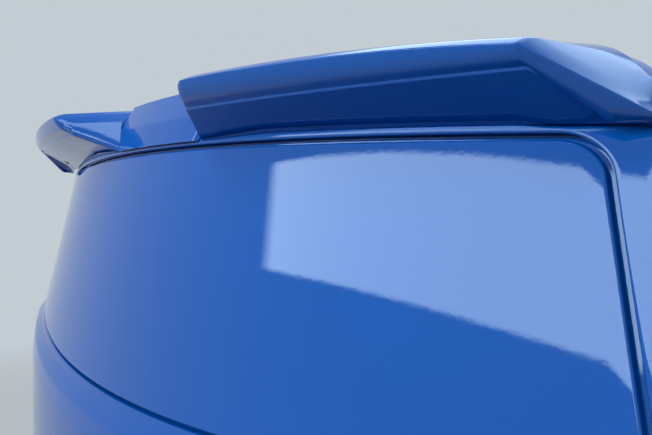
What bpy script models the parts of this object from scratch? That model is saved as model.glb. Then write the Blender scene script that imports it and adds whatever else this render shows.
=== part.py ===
"""Tailgate of a panel van: blank rear panel in a groove, split spoiler, hinges, gas struts and latch.

Metres, +Z up, +Y forward, +X to the right seen from behind. The origin is the middle of the
hinge axis. The gate is modelled closed; everything on it hangs from the gate_pivot empty.
"""
import bpy
import bmesh
from math import cos, pi, radians, sin, sqrt
from mathutils import Matrix, Vector

# Gate outline and plan shape
bow_half = 0.700
bow_depth = 0.1156
roof_bow = 0.040
gate_top_radius = 0.062
gate_bottom_radius = 0.070
skin_wall = 0.0020
skin_flange = 0.030
skin_roll = 0.006
top_flange = 0.016
seat_gap = 0.0004
curve_gap = 0.0008
cut_overrun = 0.300

# Levels of the outer skin on the centre line, set-backs behind the hinge axis,
# drops of each level at bow_half, and half widths of the gate there
roof_level, roof_setback, roof_drop, roof_half = 0.047, 0.045, 0.030, 0.706
ridge_level, ridge_setback, ridge_drop, ridge_half = 0.043, 0.119, 0.030, 0.709
crease_level, crease_setback, crease_drop, crease_half = 0.006, 0.144, 0.028, 0.718
header_level, header_setback, header_drop, header_half = -0.033, 0.154, 0.021, 0.727
sill_level, sill_setback, sill_drop, sill_half = -0.409, 0.2365, -0.038, 0.786
shoulder_level, shoulder_setback, shoulder_drop, shoulder_half = -0.432, 0.255, -0.036, 0.790
waist_level, waist_setback, waist_drop, waist_half = -0.460, 0.261, -0.028, 0.790
belly_level, belly_setback, belly_drop, belly_half = -0.740, 0.267, 0.0, 0.787
lower_level, lower_setback, lower_drop, lower_half = -1.050, 0.256, 0.0, 0.776
tuck_level, tuck_setback, tuck_drop, tuck_half = -1.190, 0.228, 0.0, 0.766
foot_level, foot_setback, foot_drop, foot_half = -1.250, 0.192, 0.0, 0.752

# Blank panel, its groove and the rebate behind it
panel_top, panel_bottom = -0.042, -0.395
panel_margin_top, panel_margin_bottom = 0.0464, 0.0253
panel_top_radius, panel_bottom_radius = 0.046, 0.060
panel_wall = 0.0050
groove = 0.0080
rebate_wall = 0.0015
rebate_gap = 0.0020
rebate_lip = 0.008
rebate_depth = 0.0150
rebate_ledge = 0.024
seal_width = 0.012
seal_inset = 0.006

# Plate recess and handle strip
recess_top, recess_bottom = -0.830, -0.965
recess_half = 0.275
recess_depth = 0.014
recess_ramp = 0.012
strip_half = 0.310
strip_height = 0.042
strip_reach = 0.030
strip_corner = 0.010
grip_half = 0.055
grip_height = 0.018
lamp_length, lamp_depth, lamp_drop = 0.050, 0.016, 0.0035
lamp_spacing = 0.200

# Inner frame, lining and pull strap
frame_wall = 0.0020
frame_edge_depth = 0.029
frame_depth = 0.045
frame_ramp = 0.030
frame_opening_inset = 0.030
lining_wall = 0.0030
lining_top, lining_bottom = -0.470, -1.105
lining_margin_top, lining_margin_bottom = 0.132, 0.162
lining_radius = 0.060
lining_crown = 0.012
strap_length, strap_width, strap_wall = 0.180, 0.026, 0.003
strap_rise = 0.032
strap_level = -1.000
strap_x = -0.300

# Spoiler halves: where they leave the gate, their trailing band and their side ends
spoiler_foot_in, spoiler_waist_in, spoiler_roof_in = 0.142, 0.162, 0.157
spoiler_root_out = 0.690
spoiler_foot, spoiler_foot_dip = -0.026, 0.0040
spoiler_tip_x, spoiler_corner_x = 0.240, 0.6635
edge_level, edge_setback, edge_drop = 0.0312, 0.244, 0.0218
band_level, band_drop = 0.0030, 0.0072
band_lean_in, band_lean_out = 0.026, 0.0155
nose_run, nose_rise = 0.015, 0.0075
chamfer_run, chamfer_fall = 0.0065, 0.0020
spoiler_skin = 0.005
end_roll = 0.008
side_x, side_y, side_z = 0.7335, -0.055, -0.0415
side_waist_x, side_waist_y, side_waist_z = 0.7045, -0.066, -0.048
side_low_x, side_low_y, side_low_z = 0.7315, -0.0500, -0.0470
side_root_x = 0.722

# Cover between the spoiler halves
centre_gap = 0.003
centre_bevel = 0.010
centre_wall = 0.006
centre_foot = 0.0015

# Hinges
hinge_x = 0.420
hinge_pin_radius = 0.005
knuckle_radius = 0.011
knuckle_width = 0.030
running_gap = 0.0004
ear_wall = 0.005
leaf_y, leaf_wall = 0.040, 0.006
leaf_top, leaf_bottom = 0.016, -0.034
leaf_width = 0.084
arm_wall = 0.007
arm_pad_top, arm_pad_bottom = -0.034, -0.095

# Gas struts
strut_margin = 0.026
strut_foot_y, strut_foot_z = 0.042, -0.600
strut_head_y, strut_head_z = 0.015, -0.200
tube_radius, tube_start, tube_length = 0.010, 0.014, 0.262
rod_radius, rod_insertion = 0.004, 0.006
eye_radius, eye_width, eye_bore = 0.009, 0.011, 0.0044
stud_radius = 0.004
stud_plate = 0.003
stud_plate_half = 0.016
stud_reach = 0.012
bracket_wall = 0.004
bracket_half = 0.022
bracket_gap = 0.010

# Latch and buffers
latch_level = -1.160
latch_half, latch_height, latch_depth = 0.045, 0.086, 0.046
latch_mouth, latch_mouth_half, latch_mouth_depth = 0.036, 0.032, 0.036
buffer_radius, buffer_tip_radius, buffer_length = 0.016, 0.011, 0.026
buffer_margin, buffer_level = 0.134, -1.090

# Mesh steps
column_steps = 24
recess_steps, beside_steps = 4, 7
corner_steps = 4
turn_steps = 20


def material(name, color, roughness, metallic=0.0, coat=0.0):
    """Principled material in linear colour."""
    made = bpy.data.materials.new(name)
    made.use_nodes = True
    shader = made.node_tree.nodes["Principled BSDF"]
    shader.inputs["Base Color"].default_value = (*color, 1.0)
    shader.inputs["Roughness"].default_value = roughness
    shader.inputs["Metallic"].default_value = metallic
    shader.inputs["Coat Weight"].default_value = coat
    return made


def finish_mesh(name, mesh_data, finish, parent=None, smooth=False):
    """Make an object of a bmesh whose points are in world space, under an optional parent."""
    bmesh.ops.recalc_face_normals(mesh_data, faces=mesh_data.faces)
    mesh = bpy.data.meshes.new(name)
    mesh_data.to_mesh(mesh)
    mesh_data.free()
    made = bpy.data.objects.new(name, mesh)
    bpy.context.scene.collection.objects.link(made)
    if finish is not None:
        mesh.materials.append(finish)
    if parent is not None:
        mesh.transform(Matrix.Translation(-Vector(parent.location)))
        made.parent = parent
    if smooth:
        mesh.shade_smooth()
        mesh.set_sharp_from_angle(angle=radians(30))
    return made


def pivot(name, place):
    """Empty on a joint's axis."""
    made = bpy.data.objects.new(name, None)
    made.location = place
    bpy.context.scene.collection.objects.link(made)
    return made


def cut(target, cutter, operation="DIFFERENCE"):
    """Keep a live Boolean on the target."""
    cutter.hide_render = True
    cutter.display_type = "WIRE"
    step = target.modifiers.new("cut_" + cutter.name, "BOOLEAN")
    step.operation = operation
    step.solver = "EXACT"
    step.object = cutter


# Surface of the gate

# Columns: level, set-back, bow, drop at bow_half, half width
skin_rows = (
    (roof_level, roof_setback, roof_bow, roof_drop, roof_half),
    (ridge_level, ridge_setback, bow_depth, ridge_drop, ridge_half),
    (crease_level, crease_setback, bow_depth, crease_drop, crease_half),
    (header_level, header_setback, bow_depth, header_drop, header_half),
    (sill_level, sill_setback, bow_depth, sill_drop, sill_half),
    (shoulder_level, shoulder_setback, bow_depth, shoulder_drop, shoulder_half),
    (waist_level, waist_setback, bow_depth, waist_drop, waist_half),
    (belly_level, belly_setback, bow_depth, belly_drop, belly_half),
    (lower_level, lower_setback, bow_depth, lower_drop, lower_half),
    (tuck_level, tuck_setback, bow_depth, tuck_drop, tuck_half),
    (foot_level, foot_setback, bow_depth, foot_drop, foot_half),
)


def row_at(level):
    """Set-back, bow, drop and half width at a level, between the rows of the skin table."""
    if level >= skin_rows[0][0]:
        return skin_rows[0][1:]
    for upper, lower in zip(skin_rows, skin_rows[1:]):
        if level >= lower[0]:
            share = (upper[0] - level) / (upper[0] - lower[0])
            return tuple(a + (b - a) * share for a, b in zip(upper[1:], lower[1:]))
    return skin_rows[-1][1:]


def skin_point(x, level, depth=0.0):
    """Point on the outer skin, or depth metres forward of it."""
    setback, bow, drop, _ = row_at(level)
    rise = (x / bow_half) ** 2
    return Vector((x, -setback + bow * rise + depth, level - drop * rise))


def corner_inset(level, top, bottom, top_radius, bottom_radius):
    """How far a rounded corner pulls a side in at a level."""
    above = level - (top - top_radius)
    below = (bottom + bottom_radius) - level
    if above > 0:
        return top_radius - sqrt(max(top_radius ** 2 - above ** 2, 0))
    if below > 0:
        return bottom_radius - sqrt(max(bottom_radius ** 2 - below ** 2, 0))
    return 0.0


def corner_levels(top, bottom, top_radius, bottom_radius):
    """Levels that follow the two rounded corners of an outline by equal angles."""
    turns = [pi / 2 * step / corner_steps for step in range(corner_steps + 1)]
    upper = [top - top_radius * (1 - cos(turn)) for turn in turns]
    lower = [bottom + bottom_radius * (1 - cos(turn)) for turn in turns]
    return upper + lower


def merged_levels(levels, spacing):
    """Sorted levels from the top down, none closer than a hair, long spans divided."""
    result = []
    for level in sorted(set(levels), reverse=True):
        if result and result[-1] - level < seat_gap:
            continue
        if result and result[-1] - level > spacing:
            parts = int((result[-1] - level) / spacing) + 1
            start = result[-1]
            result += [start + (level - start) * part / parts for part in range(1, parts)]
        result.append(level)
    return result


def grid_faces(mesh_data, points):
    """Quads over a table of points; returns the table of vertices."""
    verts = [[mesh_data.verts.new(point) for point in row] for row in points]
    for upper, lower in zip(verts, verts[1:]):
        for column in range(len(upper) - 1):
            corners = (upper[column], upper[column + 1], lower[column + 1], lower[column])
            mesh_data.faces.new(corners)
    return verts


def border_of(table):
    """The border of a table, once round."""
    top = list(table[0])
    right = [row[-1] for row in table[1:]]
    bottom = list(reversed(table[-1][:-1]))
    left = [row[0] for row in reversed(table[1:-1])]
    return top + right + bottom + left


def slab(name, front, back, finish, parent=None, smooth=True):
    """Closed solid between two tables of points of one size."""
    mesh_data = bmesh.new()
    outer = grid_faces(mesh_data, front)
    inner = grid_faces(mesh_data, back)
    ring_a, ring_b = border_of(outer), border_of(inner)
    for index, vert in enumerate(ring_a):
        after = (index + 1) % len(ring_a)
        mesh_data.faces.new((vert, ring_a[after], ring_b[after], ring_b[index]))
    return finish_mesh(name, mesh_data, finish, parent, smooth)


def ring_solid(name, loops, finish, parent=None, smooth=True):
    """Closed solid swept round an outline: loops of equal length, joined in a closed ring."""
    mesh_data = bmesh.new()
    made = [[mesh_data.verts.new(point) for point in loop] for loop in loops]
    for first, second in zip(made, made[1:] + made[:1]):
        for index, vert in enumerate(first):
            after = (index + 1) % len(first)
            mesh_data.faces.new((vert, first[after], second[after], second[index]))
    return finish_mesh(name, mesh_data, finish, parent, smooth)


def loft_solid(name, sections, finish, parent=None, smooth=True):
    """Closed solid through sections of equal length, capped at both ends."""
    mesh_data = bmesh.new()
    made = [[mesh_data.verts.new(point) for point in section] for section in sections]
    for first, second in zip(made, made[1:]):
        for index, vert in enumerate(first):
            after = (index + 1) % len(first)
            mesh_data.faces.new((vert, first[after], second[after], second[index]))
    mesh_data.faces.new(made[0])
    mesh_data.faces.new(made[-1])
    return finish_mesh(name, mesh_data, finish, parent, smooth)


def prism(name, outline, axis, start, end, finish=None, parent=None, smooth=False):
    """Extrude an outline of (a, b) pairs along X, Y or Z between two places."""
    order = {"X": lambda a, b, c: (c, a, b), "Y": lambda a, b, c: (a, c, b),
             "Z": lambda a, b, c: (a, b, c)}[axis]
    sections = [[Vector(order(a, b, place)) for a, b in outline] for place in (start, end)]
    return loft_solid(name, sections, finish, parent, smooth)


def circle(centre, radius, steps=turn_steps, start=0.0, sweep=2 * pi):
    """Points of a round outline or, with a sweep, of an arc with both ends."""
    count = steps if abs(sweep - 2 * pi) < 1e-6 else steps + 1
    turns = [start + sweep * step / steps for step in range(count)]
    return [(centre[0] + radius * cos(turn), centre[1] + radius * sin(turn)) for turn in turns]


def box_outline(low_a, high_a, low_b, high_b, radius=0.0):
    """Rectangle, with rounded corners where a radius is given."""
    if not radius:
        return [(low_a, low_b), (high_a, low_b), (high_a, high_b), (low_a, high_b)]
    corners = (
        (high_a - radius, low_b + radius, -pi / 2),
        (high_a - radius, high_b - radius, 0.0),
        (low_a + radius, high_b - radius, pi / 2),
        (low_a + radius, low_b + radius, pi),
    )
    points = []
    for a, b, start in corners:
        points += circle((a, b), radius, corner_steps, start, pi / 2)
    return points


def join_solids(name, parts, finish, parent=None):
    """Fuse solids into the first by Boolean unions and give the result its name."""
    first = parts[0]
    for other in parts[1:]:
        cut(first, other, "UNION")
    first.name = name
    first.data.name = name
    first.data.materials.clear()
    first.data.materials.append(finish)
    if parent is not None:
        first.data.transform(Matrix.Translation(-Vector(parent.location)))
        first.parent = parent
    return first


# Sub-parts of the gate

def shares_across(steps=column_steps):
    """Even column shares from the left side to the right."""
    return [2 * step / steps - 1 for step in range(steps + 1)]


def columns_with_edge(half, edge):
    """Places across a width, with a line at a ramp's inner end near each side."""
    inner = half - edge
    return [-half] + [share * inner for share in shares_across()] + [half]


def skin_columns(half):
    """Places across the skin, with lines at both ends of the recess's ramps."""
    inner = recess_half - recess_ramp
    inside = [inner * step / recess_steps for step in range(recess_steps + 1)]
    beside = [recess_half + (half - recess_half) * step / beside_steps
              for step in range(beside_steps + 1)]
    right = inside + beside
    return [-x for x in reversed(right[1:])] + right


def in_recess(x, level):
    """Share of the plate recess's depth at a place on the skin."""
    side = min(max((recess_half - abs(x)) / recess_ramp, 0), 1)
    upper = min(max((recess_top - level) / recess_ramp, 0), 1)
    lower = min(max((level - recess_bottom) / recess_ramp, 0), 1)
    return min(side, upper, lower)


def gate_half(level, grow=0.0):
    """Half width of the gate at a level, with its rounded corners."""
    half = row_at(level)[3]
    return half + grow - corner_inset(
        level, roof_level, foot_level, gate_top_radius, gate_bottom_radius)


def panel_half(level, grow):
    """Half width of the blank panel's outline, or of one grown round it."""
    top, bottom = panel_top + grow, panel_bottom - grow
    share = (panel_top - level) / (panel_top - panel_bottom)
    margin = panel_margin_top + (panel_margin_bottom - panel_margin_top) * share
    return row_at(level)[3] - margin + grow - corner_inset(
        level, top, bottom, panel_top_radius + grow, panel_bottom_radius + grow)


def panel_border(grow, depth):
    """Border of the panel's outline grown by a width, laid at a depth behind the skin."""
    top, bottom = panel_top + grow, panel_bottom - grow
    levels = merged_levels(
        corner_levels(top, bottom, panel_top_radius + grow, panel_bottom_radius + grow),
        panel_top - panel_bottom)
    table = [
        [skin_point(share * panel_half(level, grow), level, depth) for share in shares_across()]
        for level in levels
    ]
    return border_of(table)


def outer_skin(finish, parent):
    """Pressed outer sheet with a hemmed edge, plate recess and window aperture."""
    recess_edges = [recess_top, recess_top - recess_ramp,
                    recess_bottom + recess_ramp, recess_bottom]
    levels = merged_levels(
        [row[0] for row in skin_rows] + recess_edges
        + corner_levels(roof_level, foot_level, gate_top_radius, gate_bottom_radius)
        + [panel_top + (panel_bottom - panel_top) * step / 5 for step in range(1, 5)],
        (shoulder_level - belly_level))
    table = [
        [skin_point(x, level, recess_depth * in_recess(x, level))
         for x in skin_columns(gate_half(level))]
        for level in levels
    ]
    mesh_data = bmesh.new()
    verts = grid_faces(mesh_data, table)
    ring = border_of(verts)
    top_count = len(verts[0])
    count = len(ring)
    loops = [ring]
    for step in (1, 2, 3):
        turn = pi / 4 * min(step, 2)
        out, forward = skin_roll * sin(turn), skin_roll * (1 - cos(turn))
        if step == 3:
            forward = skin_flange
        loop = []
        for index, vert in enumerate(ring):
            before, after = ring[index - 1].co, ring[(index + 1) % count].co
            along = after - before
            normal = Vector((-along.z, 0, along.x)).normalized() * -1
            if normal.dot(vert.co - Vector((0, vert.co.y, belly_level))) < 0:
                normal.negate()
            if index < top_count:
                drop = top_flange if step == 3 else forward
                shift = Vector((0, out, -drop))
            else:
                shift = normal * out + Vector((0, forward, 0))
            loop.append(mesh_data.verts.new(vert.co + shift))
        loops.append(loop)
    for first, second in zip(loops, loops[1:]):
        for index, vert in enumerate(first):
            after = (index + 1) % count
            mesh_data.faces.new((vert, first[after], second[after], second[index]))
    skin = finish_mesh("outer_skin", mesh_data, finish, parent, True)
    sheet = skin.modifiers.new("sheet", "SOLIDIFY")
    sheet.thickness = skin_wall
    sheet.offset = -1
    sheet.use_even_offset = True
    sheet.use_quality_normals = True
    outline = [(point.x, point.z) for point in panel_border(groove, 0.0)]
    cutter = prism("window_cutter", outline, "Y", -cut_overrun - sill_setback, cut_overrun)
    cut(skin, cutter)
    return skin


def blank_panel(finish, parent):
    """Body-colour panel that fills the rear window."""
    levels = merged_levels(
        corner_levels(panel_top, panel_bottom, panel_top_radius, panel_bottom_radius),
        (panel_top - panel_bottom) / 5)
    front, back = [], []
    for level in levels:
        half = panel_half(level, 0.0)
        front.append([skin_point(share * half, level) for share in shares_across()])
        back.append([skin_point(share * half, level, panel_wall) for share in shares_across()])
    return slab("blank_panel", front, back, finish, parent)


def window_rebate(finish, parent):
    """Stepped pressing round the aperture that carries the blank panel."""
    lip = skin_wall + rebate_gap
    # Columns: growth of the panel's outline, depth behind the skin
    section = (
        (groove + rebate_lip, lip),
        (groove + rebate_wall, lip),
        (groove, rebate_depth),
        (-rebate_ledge, rebate_depth),
        (-rebate_ledge, frame_depth - curve_gap),
        (-rebate_ledge + rebate_wall, frame_depth - curve_gap),
        (-rebate_ledge + rebate_wall, rebate_depth + rebate_wall),
        (groove + rebate_wall, rebate_depth + rebate_wall),
        (groove + rebate_wall * 2, lip + rebate_wall),
        (groove + rebate_lip, lip + rebate_wall),
    )
    loops = [panel_border(grow, depth) for grow, depth in section]
    return ring_solid("window_rebate", loops, finish, parent)


def panel_seal(finish, parent):
    """Bonding seal between the panel and the rebate."""
    near, far = panel_wall + curve_gap, rebate_depth - curve_gap
    section = (
        (-seal_inset, near), (-seal_inset, far),
        (-seal_inset - seal_width, far), (-seal_inset - seal_width, near),
    )
    loops = [panel_border(grow, depth) for grow, depth in section]
    return ring_solid("panel_seal", loops, finish, parent)


def frame_limits():
    """Top and bottom levels of the inner frame."""
    return roof_level - skin_roll - top_flange, foot_level + skin_roll


def frame_half(level):
    """Half width of the inner frame at a level."""
    top, bottom = frame_limits()
    return row_at(level)[3] - skin_wall - curve_gap - corner_inset(
        level, top, bottom, gate_top_radius, gate_bottom_radius)


def frame_point(x, level, lift=0.0):
    """Point on the inner frame's rear face, or lift metres forward of it."""
    top, bottom = frame_limits()
    edge = min(top - level, level - bottom, frame_half(level) - abs(x))
    raised = min(max(edge / frame_ramp, 0), 1)
    depth = frame_edge_depth + (frame_depth - frame_edge_depth) * raised
    return skin_point(x, level, depth + lift)


def frame_seat(x, level, gap=0.0):
    """Place and forward normal on the inner frame's front face."""
    step = frame_ramp / 4
    lift = frame_wall
    place = frame_point(x, level, lift)
    across = frame_point(x + step, level, lift) - frame_point(x - step, level, lift)
    up = frame_point(x, level + step, lift) - frame_point(x, level - step, lift)
    normal = across.cross(up).normalized()
    if normal.y < 0:
        normal.negate()
    return place + normal * gap, normal


def inner_frame(finish, parent):
    """Inner pressing with a raised field and the window opening."""
    top, bottom = frame_limits()
    levels = merged_levels(
        [row[0] for row in skin_rows if bottom < row[0] < top]
        + corner_levels(top, bottom, gate_top_radius, gate_bottom_radius)
        + [panel_top + (panel_bottom - panel_top) * step / 5 for step in range(1, 5)]
        + [top - frame_ramp, bottom + frame_ramp]
        + [buffer_level - buffer_radius, buffer_level + buffer_radius],
        (shoulder_level - belly_level))
    front, back = [], []
    for level in levels:
        columns = columns_with_edge(frame_half(level), frame_ramp)
        front.append([frame_point(x, level) for x in columns])
        back.append([frame_point(x, level, frame_wall) for x in columns])
    frame = slab("inner_frame", front, back, finish, parent)
    outline = [(point.x, point.z) for point in panel_border(-frame_opening_inset, 0.0)]
    cutter = prism("frame_cutter", outline, "Y", -cut_overrun - sill_setback, cut_overrun)
    cut(frame, cutter)
    return frame


def inner_lining(finish, parent):
    """Moulded lining over the lower inner frame."""
    levels = merged_levels(
        corner_levels(lining_top, lining_bottom, lining_radius, lining_radius)
        + [row[0] for row in skin_rows if lining_bottom < row[0] < lining_top],
        (lining_top - lining_bottom) / 4)
    start = frame_depth + frame_wall + curve_gap
    front, back = [], []
    for level in levels:
        share_down = (lining_top - level) / (lining_top - lining_bottom)
        margin = lining_margin_top + (lining_margin_bottom - lining_margin_top) * share_down
        half = row_at(level)[3] - margin - corner_inset(
            level, lining_top, lining_bottom, lining_radius, lining_radius)
        edge = min(lining_top - level, level - lining_bottom)
        row_front, row_back = [], []
        for share in shares_across():
            x = share * half
            inside = min(min(edge, half - abs(x)) / lining_radius, 1)
            lift = start + lining_crown * inside
            row_front.append(skin_point(x, level, lift))
            row_back.append(skin_point(x, level, lift + lining_wall))
        front.append(row_front)
        back.append(row_back)
    return slab("inner_lining", front, back, finish, parent)


def handle_strip(finish, parent):
    """Strip above the plate recess with a finger pocket under its middle."""
    columns = [share * strip_half for share in shares_across()]
    # Columns: height share of the strip, reach share of the strip
    profile_shares = ((0.0, 0.0), (0.0, 0.75), (0.15, 1.0), (0.65, 0.9), (1.0, 0.35), (1.0, 0.0))
    sections = []
    for x in columns:
        end = min((strip_half - abs(x)) / strip_corner, 1)
        section = []
        for height_share, reach_share in profile_shares:
            level = recess_top + strip_height * height_share
            reach = curve_gap + strip_reach * reach_share * max(end, 0.15)
            section.append(skin_point(x, level, -reach))
        sections.append(section)
    strip = loft_solid("handle_strip", sections, finish, parent)
    pocket = skin_point(0.0, recess_top)
    outline = box_outline(pocket.y - strip_reach * 0.8, pocket.y - strip_reach * 0.2,
                          recess_top - grip_height, recess_top + grip_height)
    cutter = prism("grip_cutter", outline, "X", -grip_half, grip_half)
    cut(strip, cutter)
    return strip


def plate_lamp(name, side, finish, parent):
    """Lens under the handle strip that lights the plate recess."""
    centre = skin_point(side * lamp_spacing, recess_top)
    top = recess_top - seat_gap
    middle = centre.y - strip_reach / 2
    outline = box_outline(middle - lamp_depth / 2, middle + lamp_depth / 2, top - lamp_drop, top)
    return prism(name, outline, "X", centre.x - lamp_length / 2, centre.x + lamp_length / 2,
                 finish, parent)


def corner_level(x):
    """Highest level of the gate's outline at a place across it."""
    level = roof_level
    for _ in range(corner_steps):
        past = x - (row_at(level)[3] - gate_top_radius)
        past = min(max(past, 0), gate_top_radius)
        level = roof_level - gate_top_radius + sqrt(gate_top_radius ** 2 - past ** 2)
    return level


# Columns: inward share and fall share of the trailing band, from its upper to its lower edge
band_shares = ((0.0, 0.0), (-0.03, 0.28), (0.03, 0.55), (0.30, 0.80), (1.0, 1.0))
# Share of the way round the side end at which the lower edge turns up
side_end_share = 0.7


def band_edges(share, beyond):
    """Upper and lower edge of the trailing band at a place along a spoiler half."""
    x = spoiler_tip_x + (spoiler_corner_x - spoiler_tip_x) * share
    rise = (x / bow_half) ** 2
    lean = band_lean_in + (band_lean_out - band_lean_in) * share
    upper = Vector((x, -edge_setback + bow_depth * rise, edge_level - edge_drop * rise * rise))
    lean_x = lean * (spoiler_tip_x - spoiler_foot_in) / (edge_setback - header_setback)
    lower = Vector((x - lean_x * (1 - share), upper.y + lean, band_level - band_drop * rise))
    lower.y -= bow_depth * (rise - (lower.x / bow_half) ** 2)
    if beyond:
        upper = upper.lerp(Vector((side_x, side_y, side_z)), beyond)
        waist = Vector((side_waist_x, side_waist_y, side_waist_z))
        low = Vector((side_low_x, side_low_y, side_low_z))
        if beyond <= side_end_share:
            lower = lower.lerp(waist, beyond / side_end_share)
        else:
            lower = waist.lerp(low, (beyond - side_end_share) / (1 - side_end_share))
    return upper, lower


def root_points(share, beyond):
    """Points of a section that lie along the gate: foot, waist, ridge and front."""
    near_end = max(1 - share * 4, 0)
    drop_in = spoiler_foot_dip * near_end
    low = spoiler_foot - drop_in
    # Columns: level, place across at the inner end
    rows = ((low, spoiler_foot_in), (crease_level, spoiler_waist_in),
            (ridge_level, spoiler_roof_in), (roof_level, spoiler_roof_in))
    points = []
    for level, start in rows:
        x = start + (spoiler_root_out - start) * share
        x += (side_root_x - spoiler_root_out) * beyond
        past_start = 1 + 2 * (x - roof_half + gate_top_radius) / gate_top_radius
        gap = curve_gap + skin_roll * min(max(past_start, 0), 1)
        top = corner_level(x)
        level = low + (top - low) * (level - low) / (roof_level - low)
        point = skin_point(x, level, -gap if len(points) < 3 else 0.0)
        if len(points) > 1:
            point.z += gap
        points.append(point)
    return points


def spoiler_section(share, beyond, roll=0.0):
    """One section of the right spoiler half; roll draws its outer points in at the end."""
    upper, lower = band_edges(share, beyond)
    foot, waist, ridge, front = root_points(share, beyond)
    top = front + Vector((0, 0, spoiler_skin))
    forward = Vector((top.x - upper.x, top.y - upper.y, 0)).normalized()
    crown = upper + forward * nose_run
    crown.z += nose_rise * (1 - beyond / 2)
    mid_top = top.lerp(crown, 0.5)
    band = [Vector((upper.x + (lower.x - upper.x) * inward_share,
                    upper.y + (lower.y - upper.y) * inward_share,
                    upper.z + (lower.z - upper.z) * fall_share))
            for inward_share, fall_share in band_shares]
    under = Vector((foot.x - lower.x, foot.y - lower.y, 0)).normalized()
    chamfer = lower + under * chamfer_run
    chamfer.z -= chamfer_fall * (1 - beyond)
    if roll:
        crown.z -= roll
        top.z -= min(roll, spoiler_skin / 2)
        for point in band[:1]:
            point.z -= roll / 2
        for point in (band[3], band[4], chamfer):
            point.z += roll / 2
    return [foot, waist, ridge, front, top, mid_top, crown] + band + [chamfer]


def spoiler_half(name, side, finish, parent):
    """One deep half of the spoiler, wrapped round the gate's upper corner."""
    rolled = end_roll / (spoiler_root_out - spoiler_roof_in)
    stations = [(0.0, 0.0, end_roll), (rolled * 0.3, 0.0, end_roll * 0.3), (rolled, 0.0, 0.0)]
    stations += [(step / 10, 0.0, 0.0) for step in range(1, 11)]
    stations += [(1.0, beyond, 0.0) for beyond in (0.2, 0.4, side_end_share * 0.8,
                                                   side_end_share, 0.85, 1.0)]
    sections = []
    for share, beyond, roll in stations:
        points = spoiler_section(share, beyond, roll)
        sections.append([Vector((side * point.x, point.y, point.z)) for point in points])
    return loft_solid(name, sections, finish, parent)


def spoiler_centre(finish, parent):
    """Cover of the ridge between the spoiler halves, with bevelled ends."""
    # Columns: level, place across at the spoiler's inner end, lift share, set-out share
    rows = ((roof_level, spoiler_roof_in, 1.0, 0.0), (ridge_level, spoiler_roof_in, 1.0, 1.0),
            (crease_level, spoiler_waist_in, 0.0, 1.0),
            (header_level + groove / 2, spoiler_foot_in, 0.0, 1.0))
    front, back = [], []
    for level, end, lift_share, out_share in rows:
        half = end - centre_gap
        columns = [-half, -half + centre_bevel, -half / 3, half / 3, half - centre_bevel, half]
        row_front, row_back = [], []
        for x in columns:
            wall = centre_foot if abs(x) == half else centre_wall
            near = skin_point(x, level, -out_share * (curve_gap + wall))
            near.z += lift_share * (curve_gap + wall)
            far = skin_point(x, level, -out_share * curve_gap)
            far.z += lift_share * curve_gap
            row_front.append(near)
            row_back.append(far)
        front.append(row_front)
        back.append(row_back)
    return slab("spoiler_centre", front, back, finish, parent)


def hinge_arm(name, side, finish, parent):
    """Gate-side arm: a knuckle on the hinge axis and a pad on the inner frame."""
    x = side * hinge_x
    low, high = x - knuckle_width / 2, x + knuckle_width / 2
    start = pi / 2 + pi / 8
    arc = circle((0, 0), knuckle_radius, turn_steps // 2, start, -pi * 1.2)
    sections = []
    for place in (low, high):
        foot = frame_point(place, arm_pad_bottom, frame_wall + curve_gap)
        head = frame_point(place, arm_pad_top, frame_wall + curve_gap)
        outline = arc + [(foot.y + arm_wall, foot.z), (foot.y, foot.z), (head.y, head.z)]
        sections.append([Vector((place, a, b)) for a, b in outline])
    arm = loft_solid(name, sections, finish, parent, False)
    bore = prism(name + "_bore", circle((0, 0), hinge_pin_radius + running_gap), "X",
                 low - ear_wall, high + ear_wall)
    cut(arm, bore)
    return arm


def hinge_leaf(name, side, finish):
    """Body-side leaf: a bolting plate, two ears and the hinge pin."""
    x = side * hinge_x
    plate = prism(name + "_plate", box_outline(leaf_y, leaf_y + leaf_wall, leaf_bottom, leaf_top),
                  "X", x - leaf_width / 2, x + leaf_width / 2)
    ear_in = knuckle_width / 2 + running_gap
    pin = prism(name + "_pin", circle((0, 0), hinge_pin_radius), "X",
                x - ear_in - ear_wall, x + ear_in + ear_wall)
    parts = [plate, pin]
    for number, place in enumerate((x - ear_in - ear_wall, x + ear_in)):
        outline = circle((0, 0), knuckle_radius, turn_steps // 2, pi / 2, pi)
        outline += [(leaf_y + leaf_wall / 2, leaf_bottom / 2), (leaf_y + leaf_wall / 2, leaf_top)]
        parts.append(prism(f"{name}_ear_{number}", outline, "X", place, place + ear_wall))
    return join_solids(name, parts, finish)


def strut_x():
    """Distance of a strut from the centre plane, just inside the gate's side at its head."""
    return row_at(strut_head_z)[3] - strut_margin


def strut_direction():
    """Unit direction of a closed strut, from its foot to its head."""
    head = Vector((0, strut_head_y, strut_head_z))
    foot = Vector((0, strut_foot_y, strut_foot_z))
    return (head - foot).normalized(), (head - foot).length


def turned_bar(name, start, direction, stations, finish=None, parent=None):
    """Solid of revolution along a direction, from (distance, radius) stations."""
    other = direction.cross(Vector((1, 0, 0))).normalized()
    across = other.cross(direction)
    steps = turn_steps
    sections = []
    for distance, radius in stations:
        centre = start + direction * distance
        turns = [2 * pi * step / steps for step in range(steps)]
        sections.append([centre + (across * cos(t) + other * sin(t)) * radius for t in turns])
    return loft_solid(name, sections, finish, parent)


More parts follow.
